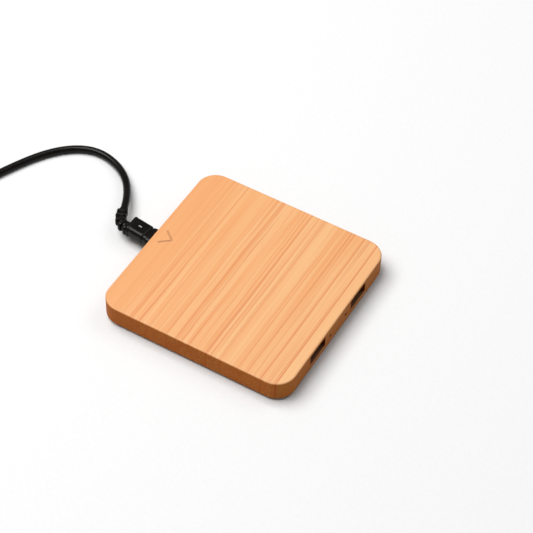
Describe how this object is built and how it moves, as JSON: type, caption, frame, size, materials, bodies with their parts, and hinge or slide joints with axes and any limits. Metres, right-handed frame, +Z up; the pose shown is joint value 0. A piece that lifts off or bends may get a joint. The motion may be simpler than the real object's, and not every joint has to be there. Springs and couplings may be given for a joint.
{
  "type": "wireless charging pad",
  "caption": "Low rounded-square bamboo charging pad with USB output sockets on one side and a detachable power cable that ends in a USB-A plug.",
  "frame": {"origin": "on the table, under the middle of the pad, with the cable left out", "axes": "+X from the power inlet towards the USB sockets, +Y along the socket side, +Z up"},
  "size_m": [0.2517, 0.1004, 0.011],
  "materials": {
    "bamboo": "satin lacquered side-pressed bamboo, strips along Y",
    "cover_plastic": "fine moulded texture",
    "foot_rubber": "matt",
    "screw_steel": "black zinc",
    "board_laminate": "green solder mask",
    "shell_steel": "nickel plated",
    "socket_plastic": "moulded",
    "plug_insert_plastic": "moulded white",
    "contact_gold": "gold flash",
    "led_lens": "clear epoxy",
    "tinned_wire": "tinned",
    "coil_copper": "enamelled copper litz",
    "adhesive_tape": "double-sided tape",
    "ferrite": "sintered",
    "foam": "open cell foam",
    "chip_plastic": "moulded epoxy",
    "inductor_body": "pressed powder",
    "capacitor_ceramic": "sintered",
    "cable_rubber": "black soft PVC, slightly glossy",
    "strap_fabric": "woven hook-and-loop strap"
  },
  "bodies": {
    "pad": {"bamboo_case": "bamboo", "bottom_cover": "cover_plastic", "foot_front_inlet": "foot_rubber", "foot_front_port": "foot_rubber", "foot_rear_inlet": "foot_rubber", "foot_rear_port": "foot_rubber", "cover_screws": "screw_steel", "board_screws": "screw_steel", "circuit_board": "board_laminate", "port_shell_front": "shell_steel", "port_shell_rear": "shell_steel", "inlet_shell": "shell_steel", "port_tongue_front": "socket_plastic", "port_tongue_rear": "socket_plastic", "inlet_tongue": "socket_plastic", "port_contacts_front": "contact_gold", "port_contacts_rear": "contact_gold", "inlet_contacts": "contact_gold", "led_front": "led_lens", "led_rear": "led_lens", "led_leads": "tinned_wire", "transmit_coil": "coil_copper", "coil_leads": "coil_copper", "coil_tape": "adhesive_tape", "ferrite_plate": "ferrite", "foam_blocks": "foam", "charge_controller": "chip_plastic", "bridge_driver": "chip_plastic", "port_regulator": "chip_plastic", "resistors": "chip_plastic", "power_inductor": "inductor_body", "resonant_capacitors": "capacitor_ceramic", "small_capacitors": "capacitor_ceramic"},
    "cable": {"plug_shell": "shell_steel", "plug_insert": "socket_plastic", "plug_contacts": "contact_gold", "plug_body": "cable_rubber", "strain_relief": "cable_rubber", "cord_to_coil": "cable_rubber", "cord_coil": "cable_rubber", "cord_to_plug": "cable_rubber", "coil_tie": "strap_fabric", "usb_plug_relief": "cable_rubber", "usb_plug_body": "cable_rubber", "usb_plug_shell": "shell_steel", "usb_plug_insert": "plug_insert_plastic", "usb_plug_contacts": "contact_gold"}
  },
  "joints": [
    {"name": "unplug_cable", "type": "slide", "parent": "pad", "child": "cable", "axis": [-1, 0, 0], "range_m": [0, 0.012]}
  ]
}
